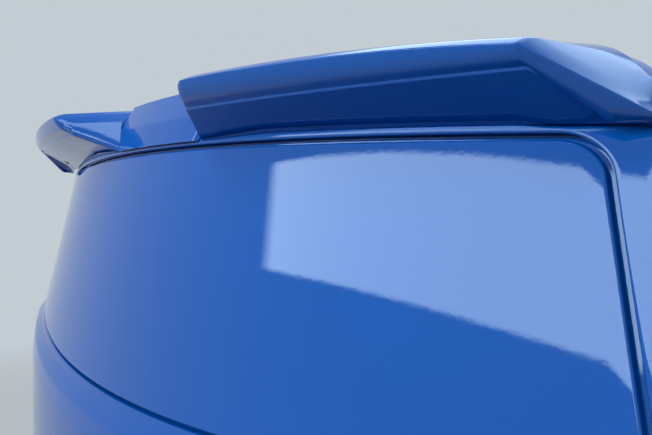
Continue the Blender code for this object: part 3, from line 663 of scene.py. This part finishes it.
def corner_level(x):
    """Highest level of the gate's outline at a place across it."""
    level = roof_level
    for _ in range(4):
        past = x - (row_at(level)[3] - gate_top_radius)
        past = min(max(past, 0), gate_top_radius)
        level = roof_level - gate_top_radius + sqrt(gate_top_radius ** 2 - past ** 2)
    return level


def band_edges(share, beyond):
    """Upper and lower edge of the trailing band at a place along a spoiler half."""
    x = tip_x + main_length * share
    rise = (x / bow_half) ** 2
    lean = band_lean_in + (band_lean_out - band_lean_in) * share
    upper = Vector((x, -edge_setback + bow_depth * rise, edge_level - edge_drop * rise * rise))
    lean_x = lean * (tip_x - foot_in) / (edge_setback - header_setback)
    lower = Vector((x - lean_x * (1 - share), upper.y + lean, band_level - band_drop * rise))
    lower.y -= bow_depth * (rise - (lower.x / bow_half) ** 2)
    if beyond:
        upper = upper.lerp(side_tip, beyond)
        if beyond <= side_end_share:
            lower = lower.lerp(side_waist, beyond / side_end_share)
        else:
            lower = side_waist.lerp(side_low, (beyond - side_end_share) / (1 - side_end_share))
    return upper, lower


def root_points(share, beyond):
    """Points of a section that lie along the gate: foot, waist, ridge and front."""
    low = spoiler_foot - foot_dip * max(1 - share / foot_dip_share, 0)
    # Columns: level, place across at the inner end
    rows = ((low, foot_in), (crease_level, waist_in),
            (ridge_level, roof_in), (roof_level, roof_in))
    points = []
    for level, start in rows:
        x = start + (root_out - start) * share
        x += (side_root_x - root_out) * beyond
        past_start = 1 + 2 * (x - roof_half + gate_top_radius) / gate_top_radius
        gap = curve_gap + skin_roll * clamped(past_start)
        top = corner_level(x)
        level = low + (top - low) * (level - low) / (roof_level - low)
        point = skin_point(x, level, -gap if len(points) < 3 else 0.0)
        if len(points) > 1:
            point.z += gap
        points.append(point)
    return points


def raw_section(share, beyond):
    """Corner points of one section of the right spoiler half."""
    upper, lower = band_edges(share, beyond)
    foot, waist, ridge, front = root_points(share, beyond)
    top = front + Vector((0, 0, spoiler_skin))
    forward = Vector((top.x - upper.x, top.y - upper.y, 0)).normalized()
    crown = upper + forward * nose_run
    crown.z += nose_rise * (1 - beyond / 2)
    near_tip = max(1 - share * main_length / end_dip_length, 0) ** 2
    crown.z -= end_dip * near_tip
    upper.z -= end_dip * near_tip / 3
    band = [Vector((upper.x + (lower.x - upper.x) * inward,
                    upper.y + (lower.y - upper.y) * inward,
                    upper.z + (lower.z - upper.z) * fall)) for inward, fall in band_shares]
    under = Vector((foot.x - lower.x, foot.y - lower.y, 0)).normalized()
    chamfer = lower + under * chamfer_run
    chamfer.z -= chamfer_fall * max(1 - beyond / chamfer_fade_share, 0)
    return [foot, waist, ridge, front, top, top.lerp(crown, 0.5), crown] + band + [chamfer]


side_length = (side_tip - band_edges(1.0, 0.0)[0]).length


def section_at(distance):
    """Section at a distance past the rear corner, averaged so that the corner rounds."""
    window = min(corner_window, side_length - distance, distance + main_length)
    sections = []
    for part in even(-1, 1, corner_samples - 1):
        spot = distance + window * part
        share = min(1 + spot / main_length, 1.0)
        sections.append(raw_section(share, max(spot, 0.0) / side_length))
    return [sum(column, Vector()) / corner_samples for column in zip(*sections)]


def rounded(points, reaches, steps=round_steps):
    """Closed outline with each corner turned into a curve."""
    result = []
    for index, corner in enumerate(points):
        ends = []
        for other in (points[index - 1], points[(index + 1) % len(points)]):
            side = max((other - corner).length, 1e-6)
            ends.append(corner.lerp(other, min(reaches[index] / side, round_limit_share)))
        start, end = ends
        for share in even(0, 1, steps):
            result.append(start.lerp(corner, share).lerp(corner.lerp(end, share), share))
    return result


def drawn_in(outline, corners, amount, towards):
    """Outline moved by an amount, then by a share, towards its section's core line."""
    nose_middle = (corners[CROWN] + corners[CHAMFER]) / 2
    root_middle = ((corners[WAIST] + corners[RIDGE]) / 2).lerp(nose_middle, core_share)
    span = nose_middle - root_middle
    moved = []
    for point in outline:
        share = clamped((point - root_middle).dot(span) / span.length_squared)
        core = root_middle + span * share
        inward = core - point
        step = min(amount, inward.length * draw_limit_share) if inward.length > 1e-6 else 0.0
        spot = point + inward.normalized() * step
        moved.append(spot.lerp(core, towards))
    return moved


def spoiler_stations():
    """Places along a spoiler half, each with how far its section is drawn in there."""
    rolled = [(-main_length + roll_length * (1 - sin(turn)), end_roll * (1 - cos(turn)))
              for turn in map(radians, even(90, 0, roll_steps))]
    bend = side_length * side_end_share
    places = spaced([(-main_length + roll_length, corner_start, main_step),
                     (corner_start, corner_end, corner_step),
                     (corner_end, bend - bend_reach, side_step),
                     (bend - bend_reach, bend + bend_reach, bend_step),
                     (bend + bend_reach, side_length, tail_step)])
    return rolled + [(spot, 0.0) for spot in places[1:]]


def spoiler_half(word, side):
    """One half of the spoiler, with a rolled inner end and a turned side end."""
    loops = []
    for spot, roll in spoiler_stations():
        corners = section_at(spot)
        loops.append(drawn_in(rounded(corners, section_reaches), corners, roll, 0.0))
    inner = section_at(-main_length)
    along = Vector((inner[EDGE].x - inner[FOOT].x, inner[EDGE].y - inner[FOOT].y, 0)).normalized()
    outward = Vector((along.y, -along.x, 0))
    caps = []
    for towards in cap_shares:
        swell = outward * end_bulge * sqrt(1 - (1 - towards) ** 2)
        caps.append([point + swell for point in drawn_in(loops[0], inner, 0.0, towards)])
    loops = [[(side * point.x, point.y, point.z) for point in loop] for loop in caps + loops]
    finish_mesh("spoiler_wing_" + word, lofted(loops, capped=True), paint, "spoiler_" + word, angle=60)


centre_gap, centre_bevel, centre_wall, centre_foot = 0.003, 0.010, 0.006, 0.0015
centre_steps, bevel_steps = 12, 8
# Steps between the ridge cover's levels: over its top, on its flats and round its crease
top_step, flat_step, crease_step = 0.0008, 0.003, 0.001
top_reach, crease_reach = 0.003, 0.005


def between(value, stops):
    """Value read between (place, value) stops, from the highest place down."""
    for (high, first), (low, second) in zip(stops, stops[1:]):
        if value >= low:
            share = clamped((high - value) / (high - low))
            return first + (second - first) * share
    return stops[-1][1]


def spoiler_centre():
    """Cover of the ridge between the spoiler halves, with bevelled ends."""
    end_level = header_level + groove / 2
    levels = spaced([(roof_level, ridge_level - top_reach, top_step),
                     (ridge_level - top_reach, crease_level + crease_reach, flat_step),
                     (crease_level + crease_reach, crease_level - crease_reach, crease_step),
                     (crease_level - crease_reach, end_level, flat_step)])
    front, back = [], []
    for level in levels:
        half = between(level, ((ridge_level, roof_in), (crease_level, waist_in),
                               (end_level, foot_in))) - centre_gap
        lift = between(level, ((ridge_level, 1.0), (crease_level, 0.0)))
        out = between(level, ((roof_level, 0.0), (ridge_level, 1.0)))
        inner = half - centre_bevel
        right = even(0, inner, centre_steps)
        right += [inner + past for past in even(0, centre_bevel, bevel_steps)[1:]]
        row_front, row_back = [], []
        for x in mirrored(right):
            inside = clamped((half - abs(x)) / centre_bevel)
            wall = centre_foot + (centre_wall - centre_foot) * sin(pi / 2 * inside)
            for row, rise in ((row_front, curve_gap + wall), (row_back, curve_gap)):
                point = skin_point(x, level, -out * rise)
                point.z += lift * rise
                row.append(point)
        front.append(row_front)
        back.append(row_back)
    finish_mesh("ridge_cover", closed_sheet((front, back)), paint, "spoiler_centre", angle=40)


# Inner side

frame_edge_depth, frame_wall, frame_ramp, frame_opening_inset = 0.029, 0.0020, 0.030, 0.030
skin_wall = 0.0020
frame_top, frame_bottom = roof_level - skin_roll - top_flange, foot_level + skin_roll
frame_fine_levels, frame_steps, frame_columns = (-0.385, -0.475), (0.014, 0.0045, 0.016), 150
lining_top, lining_bottom, lining_radius = -0.470, -1.105, 0.060
lining_margin_top, lining_margin_bottom = 0.132, 0.162
lining_wall, lining_crown = 0.0030, 0.012
field_inset, field_depth, field_edge = 0.150, 0.003, 0.014
field_fine_start, field_fine_end = 0.14, 0.17
lining_steps, lining_columns = (0.012, 0.003, 0.020, 0.003, 0.012), 180
sheet_corner_steps = 12


def frame_half(level):
    """Half width of the inner frame at a level."""
    return row_at(level)[3] - skin_wall - curve_gap - corner_inset(
        level, frame_top, frame_bottom, gate_top_radius, gate_bottom_radius)


def frame_point(x, level, lift=0.0):
    """Point on the inner frame's rear face, or lift metres forward of it."""
    edge = min(frame_top - level, level - frame_bottom, frame_half(level) - abs(x))
    raised = smooth_step(edge / frame_ramp)
    depth = frame_edge_depth + (frame_depth - frame_edge_depth) * raised
    return skin_point(x, level, depth + lift)


def frame_front(x, level):
    """Point on the inner frame's front face."""
    return frame_point(x, level, frame_wall)


def facing(surface, x, level):
    """Place and forward normal of a surface function."""
    step = 0.004
    across = surface(x + step, level) - surface(x - step, level)
    up = surface(x, level + step) - surface(x, level - step)
    return surface(x, level), up.cross(across).normalized()


def sheet_levels(top, bottom, top_radius, bottom_radius, stops, steps):
    """Levels of a sheet with rounded corners, with one step between each two stops."""
    upper, lower = corner_levels(top, bottom, top_radius, bottom_radius, sheet_corner_steps)
    places = [upper[-1], *stops, lower[0]]
    return upper + spaced(list(zip(places, places[1:], steps)))[1:-1] + lower


def sheet_piece(name, node, finish, levels, half_at, front_at, back_at, columns):
    """Closed sheet between two surface functions."""
    tables = [[[surface(half_at(level) * share, level) for share in even(-1, 1, columns)]
               for level in levels] for surface in (front_at, back_at)]
    return finish_mesh(name, closed_sheet(tables), finish, node)


def inner_frame():
    """Inner pressing with a raised field, rounded ramps and the window opening."""
    levels = sheet_levels(frame_top, frame_bottom, gate_top_radius, gate_bottom_radius,
                          frame_fine_levels, frame_steps)
    made = sheet_piece("inner_pressing", "inner_frame", inner_paint, levels, frame_half,
                       frame_point, frame_front, frame_columns)
    cut_window(made, -frame_opening_inset)


def lining_half(level):
    """Half width of the lining at a level."""
    share = (lining_top - level) / (lining_top - lining_bottom)
    margin = lining_margin_top + (lining_margin_bottom - lining_margin_top) * share
    return row_at(level)[3] - margin - corner_inset(
        level, lining_top, lining_bottom, lining_radius, lining_radius)


def lining_point(x, level, lift=0.0):
    """Point on the lining's rear face, or lift metres forward of it."""
    edge = min(lining_top - level, level - lining_bottom, lining_half(level) - abs(x))
    crown = lining_crown * sin(pi / 2 * clamped(edge / lining_radius))
    field = field_depth * smooth_step((edge - field_inset) / field_edge)
    return skin_point(x, level, frame_depth + frame_wall + curve_gap + crown - field + lift)


def lining_front(x, level):
    """Point on the lining's front face."""
    return lining_point(x, level, lining_wall)


def inner_lining():
    """Moulded lining with a crowned rim and a slightly sunk field."""
    stops = (lining_top - field_fine_start, lining_top - field_fine_end,
             lining_bottom + field_fine_end, lining_bottom + field_fine_start)
    levels = sheet_levels(lining_top, lining_bottom, lining_radius, lining_radius, stops,
                          lining_steps)
    sheet_piece("lining_cover", "inner_lining", plastic, levels, lining_half,
                lining_point, lining_front, lining_columns)


# Small fastenings

dome_turns, dome_flat_share = (0, 20, 40, 60, 80, 90), 0.35
# Bolt heads: height and radius, as shares of the flange's radius
flange_shares = ((0.10, 1.0), (0.25, 0.72))
head_shares = ((0.0, 0.62), (0.70, 0.62), (0.80, 0.50))
bolt_seat = 0.0003
clip_columns, clip_levels, clip_inset = (-0.42, -0.14, 0.14, 0.42), (-0.66, -0.86), 0.024
plug_places = ((0.30, -1.165), (0.52, -1.165), (0.705, -0.52), (0.705, -0.80))
# Pairs: height, radius
plug_profile = ((-0.001, 0.017), (0.0012, 0.017), (0.0022, 0.015), (0.0012, 0.0125),
                (0.0008, 0.006))
strap_x, strap_length, strap_level, strap_wall = -0.300, 0.180, -1.000, 0.003
strap_cap_inset = 0.030
hinge_x, leaf_y, leaf_level, leaf_bolt_reach, leaf_bolt_radius = 0.420, 0.040, -0.009, 0.032, 0.0075
latch_screw_in, latch_screw_up = 0.007, 0.010
# Domed buttons: radius, height, depth below their seat
clip_dome, strap_cap_dome = (0.0095, 0.0022, 0.001), (0.010, 0.004, 0.002)
latch_screw_dome = (0.0045, 0.0025, 0.0005)


def turned_piece(name, finish, spot, axis, profile, steps=24, body=GATE):
    """Turned solid along an axis from (height, radius) pairs."""
    side = axis.cross(Vector((0, 0, 1))).normalized()
    other = axis.cross(side)
    around = [side * cos(turn) + other * sin(turn) for turn in even(0, 2 * pi, steps)[:-1]]
    loops = [[spot + axis * height + way * radius for way in around]
             for height, radius in profile]
    finish_mesh(name, lofted(loops, capped=True), finish, angle=35, body=body)


def dome(radius, height, seat):
    """Profile of a low domed button."""
    return [(-seat, radius)] + [
        (height * sin(turn), radius * (dome_flat_share + (1 - dome_flat_share) * cos(turn)))
        for turn in map(radians, dome_turns)]


def hex_bolt(name, spot, axis, size, body):
    """Flanged hexagon bolt head."""
    flange = [(-bolt_seat, size)] + [(size * up, size * out) for up, out in flange_shares]
    head = [(size * up, size * out) for up, out in head_shares]
    turned_piece(name + "_flange", steel, spot, axis, flange, body=body)
    turned_piece(name + "_head", steel, spot, axis, head, 6, body)


def fasteners(name, finish, surface, places, profile, steps=24):
    """Turned pieces that stand on a surface at (place across, level) pairs."""
    for number, (x, level) in enumerate(places):
        turned_piece(f"{name}_{number}", finish, *facing(surface, x, level), profile, steps)


def lining_clips():
    """Push-in clips round the lining."""
    places = [(x, level) for level in (lining_top - clip_inset, lining_bottom + clip_inset)
              for x in clip_columns]
    for level in clip_levels:
        edge = lining_half(level) - clip_inset
        places += [(-edge, level), (edge, level)]
    fasteners("lining_clip", plastic, lining_front, places, dome(*clip_dome))


def frame_plugs():
    """Rubber plugs in the access holes of the inner frame."""
    places = [(sign * x, level) for x, level in plug_places for sign in (-1, 1)]
    fasteners("frame_plug", rubber, frame_front, places, plug_profile, steps=32)


def strap_ends():
    """Capped screws at both ends of the pull strap."""
    places = [(strap_x + (strap_length - strap_cap_inset) * share, strap_level)
              for share in (-0.5, 0.5)]
    fasteners("strap_cap", plastic, lambda x, level: lining_point(x, level, lining_wall + strap_wall), places,
              dome(*strap_cap_dome))


def hardware():
    """Bolts of the hinges and screws of the latch."""
    for word, side in SIDES:
        for number, way in enumerate((-1, 1)):
            spot = Vector((side * hinge_x + way * leaf_bolt_reach, leaf_y, leaf_level))
            hex_bolt(f"hinge_leaf_{word}_bolt_{number}", spot, Vector((0, -1, 0)),
                     leaf_bolt_radius, "van_body_side")
    low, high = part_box("latch")
    for number, way in enumerate((-1, 1)):
        spot = Vector((way * (high[0] - latch_screw_in), high[1], low[2] + latch_screw_up))
        turned_piece(f"latch_screw_{number}", steel, spot, Vector((0, 1, 0)),
                     dome(*latch_screw_dome))


def soften_edges(names, width):
    """Small bevels on the edges of plain CAD solids."""
    for name in names:
        step = nodes[name].modifiers.new("edge", "BEVEL")
        step.width = width
        step.segments = 2
        step.limit_method = "ANGLE"
        step.angle_limit = radians(40)
        step.harden_normals = True


# Handle

strip_half, strip_height, strip_reach, strip_corner = 0.310, 0.042, 0.030, 0.010
grip_half, grip_height = 0.055, 0.018
# Pairs: height share, reach share
handle_profile_shares = ((0.0, 0.0), (0.0, 0.75), (0.15, 1.0), (0.65, 0.9), (1.0, 0.35), (1.0, 0.0))
handle_reaches = (0.0004, 0.0040, 0.0060, 0.0090, 0.0050, 0.0004)
handle_columns, handle_end_share = 40, 0.10
pocket_low_share, pocket_high_share = 0.8, 0.2


def handle_strip():
    """Strip above the plate recess with rounded ends and a finger pocket."""
    loops = []
    inner = strip_half - strip_corner
    right = even(0, inner, handle_columns)
    right += [inner + strip_corner * sin(radians(turn)) for turn in range(10, 91, 10)]
    for x in mirrored(right):
        past = max(abs(x) - inner, 0) / strip_corner
        end = max(sqrt(max(1 - past * past, 0)), handle_end_share)
        section = []
        for height_share, reach_share in handle_profile_shares:
            level = recess_top + strip_height * height_share
            section.append(skin_point(x, level, -curve_gap - strip_reach * reach_share * end))
        loops.append(rounded(section, handle_reaches))
    made = finish_mesh("handle_bar", lofted(loops, capped=True), plastic, "handle_strip", angle=40)
    pocket = skin_point(0.0, recess_top)
    low = pocket.y - strip_reach * pocket_low_share
    high = pocket.y - strip_reach * pocket_high_share
    outline = [(low, recess_top - grip_height), (high, recess_top - grip_height),
               (high, recess_top + grip_height), (low, recess_top + grip_height)]
    cut_away(made, prism(outline, "X", -grip_half, grip_half), angle=40)


# Dressing of the part

# Looks of the CAD nodes; a name that ends in _ is a left and a right node
looks = (
    (paint[0], ("outer_skin", "blank_panel", "window_rebate", "spoiler_centre", "spoiler_")),
    (inner_paint[0], ("inner_frame",)),
    (plastic[0], ("inner_lining", "handle_strip")),
    (webbing_material(), ("pull_strap",)),
    (rubber[0], ("panel_seal", "buffer_")),
    (steel[0], ("latch", "hinge_arm_", "hinge_leaf_", "strut_stud_", "strut_bracket_")),
    (lens_material(), ("plate_lamp_",)),
    (satin_black(), ("strut_cylinder_",)),
    (rod_steel(), ("strut_rod_",)),
)
for look, stems in looks:
    for stem in stems:
        for name in (stem + "left", stem + "right") if stem.endswith("_") else (stem,):
            nodes[name].data.materials.clear()
            nodes[name].data.materials.append(look)

outer_skin()
window_rebate()
blank_panel()
spoiler_centre()
for word, side in SIDES:
    spoiler_half(word, side)
inner_frame()
inner_lining()
lining_clips()
frame_plugs()
handle_strip()
strap_ends()
hardware()
soften_edges([name + word for word, _ in SIDES
              for name in ("hinge_arm_", "hinge_leaf_", "strut_bracket_")] + ["latch"],
             width=0.0006)


# Studio

backdrop_colour, backdrop_strength = (0.84, 0.93, 1.0), 0.65
ambient_colour, ambient_strength = (0.88, 0.94, 1.0), 0.14
floor_colour, floor_bounce_colour = (0.70, 0.60, 0.55), (0.07, 0.07, 0.07)
floor_half, floor_gap, floor_fade_start, floor_fade_end = 60.0, 0.002, 1.3, 5.0
rear_sky, high_sky, side_sky = (0.62, 0.83, 1.0), (0.62, 0.84, 1.0), (0.80, 0.91, 1.0)


def seen_rays(kit):
    """1 on the rays that show the studio: camera, glossy and transmission."""
    rays = kit.add("LightPath").outputs
    shown = kit.calculate("MAXIMUM", rays["Is Camera Ray"], rays["Is Glossy Ray"])
    return kit.calculate("MAXIMUM", shown, rays["Is Transmission Ray"])


def floor_look():
    """Pale matt floor that fades into the backdrop far from the part."""
    look = Look("floor_look")
    seen = seen_rays(look)
    look.shade(Base_Color=look.blended(seen, floor_bounce_colour, floor_colour), Roughness=0.9,
               Specular_IOR_Level=0.1)
    reach = look.add("VectorMath", operation="LENGTH", Vector=look.coordinates).outputs["Value"]
    far = look.mapped(reach, 0.0, 1.0, low=floor_fade_start, high=floor_fade_end)
    glow = look.add("Emission", Color=(*backdrop_colour, 1.0), Strength=backdrop_strength)
    shown = look.mixed(look.calculate("MULTIPLY", far, seen), look.shader.outputs[0],
                       glow.outputs[0])
    look.join(shown, look.tree.nodes["Material Output"].inputs["Surface"])
    return look.material


def studio_floor():
    """Wide floor just below the part."""
    floor_data = bmesh.new()
    bmesh.ops.create_grid(floor_data, x_segments=4, y_segments=4, size=floor_half)
    for vert in floor_data.verts:
        vert.co.z = cad_box[0][2] - floor_gap
    floor = new_object("floor", floor_data)
    floor.data.materials.append(floor_look())


def studio_world():
    """World that lights the part faintly and shows the pale backdrop."""
    world = bpy.data.worlds.new("studio")
    bpy.context.scene.world = world
    kit = NodeKit(world)
    ambient = kit.tree.nodes["Background"]
    kit.join((*ambient_colour, 1.0), ambient.inputs["Color"])
    kit.join(ambient_strength, ambient.inputs["Strength"])
    backdrop = kit.add("Background", Color=(*backdrop_colour, 1.0), Strength=backdrop_strength)
    shown = kit.mixed(seen_rays(kit), ambient.outputs[0], backdrop.outputs[0])
    kit.join(shown, kit.tree.nodes["World Output"].inputs["Surface"])


def soften(light, margin, slant):
    """Fade a soft box towards its edges; slant lowers the left end of its upper edge."""
    kit = NodeKit(light)
    geometry = kit.add("NewGeometry")
    axes = kit.add("SeparateXYZ", Vector=geometry.outputs["Parametric"]).outputs
    across, up = axes["X"], axes["Y"]
    if slant:
        upper_edge = kit.calculate("MULTIPLY_ADD", across, slant, 1 - slant)
        up = kit.calculate("DIVIDE", up, upper_edge, clamp=True)
    fades = []
    for place_on in (across, up):
        distance = kit.calculate("PINGPONG", place_on, 0.5)
        ramp = kit.add("MapRange", interpolation_type="SMOOTHSTEP", From_Max=margin, Value=distance)
        fades.append(ramp.outputs["Result"])
    strength = kit.calculate("MULTIPLY", *fades)
    kit.join(strength, kit.tree.nodes["Emission"].inputs["Strength"])


def area_light(name, spot, target, width, height, power, colour, margin, slant=0.0):
    """Soft box that faces a target."""
    light = bpy.data.lights.new(name, "AREA")
    light.shape = "RECTANGLE"
    light.size, light.size_y = width, height
    light.energy = power
    light.color = colour
    soften(light, margin, slant)
    made = linked(name, light)
    made.location = spot
    made.rotation_euler = (Vector(target) - Vector(spot)).to_track_quat("-Z", "Y").to_euler()


studio_floor()
studio_world()
area_light("rear_box", (0.10, -3.8, 1.385), target=(0.10, -0.2, -0.1), width=6.5, height=1.35,
           power=218.0, colour=rear_sky, margin=0.05, slant=0.31)
area_light("high_box", (0.6, -2.3, 3.2), target=(-0.2, -0.2, 0.0), width=2.2, height=1.9,
           power=70.0, colour=high_sky, margin=0.20)
area_light("top_box", (-0.1, 2.1, 2.9), target=(-0.1, 1.6, 0.0), width=6.6, height=3.4,
           power=185.0, colour=high_sky, margin=0.12)
area_light("front_box", (2.3, 3.2, 0.1), target=(0.0, 0.0, -0.6), width=3.0, height=2.4,
           power=140.0, colour=side_sky, margin=0.20)

bpy.context.scene.view_settings.view_transform = "Standard"


# Camera, fitted to the photograph; angles in radians

camera_place = Vector((1.0232, -0.6163, -0.105))
heading, pitch, roll = 0.66223, 0.03394, -0.01009
focal_pixels, frame_width_pixels = 706.93, 652
sensor_width, near_clip = 36.0, 0.01


def add_camera():
    """Camera at the photograph's place, turned by its heading, pitch and roll."""
    ahead = Vector((-cos(heading) * cos(pitch), sin(heading) * cos(pitch), -sin(pitch)))
    level_right = Vector((sin(heading), cos(heading), 0))
    level_up = level_right.cross(ahead)
    right = level_right * cos(roll) + level_up * sin(roll)
    up = level_up * cos(roll) - level_right * sin(roll)
    optics = bpy.data.cameras.new("camera")
    optics.sensor_width = sensor_width
    optics.lens = sensor_width * (focal_pixels / frame_width_pixels)
    optics.clip_start = near_clip
    camera = linked("camera", optics)
    camera.matrix_world = Matrix((right, up, -ahead)).transposed().to_4x4()
    camera.location = camera_place
    bpy.context.scene.camera = camera


add_camera()
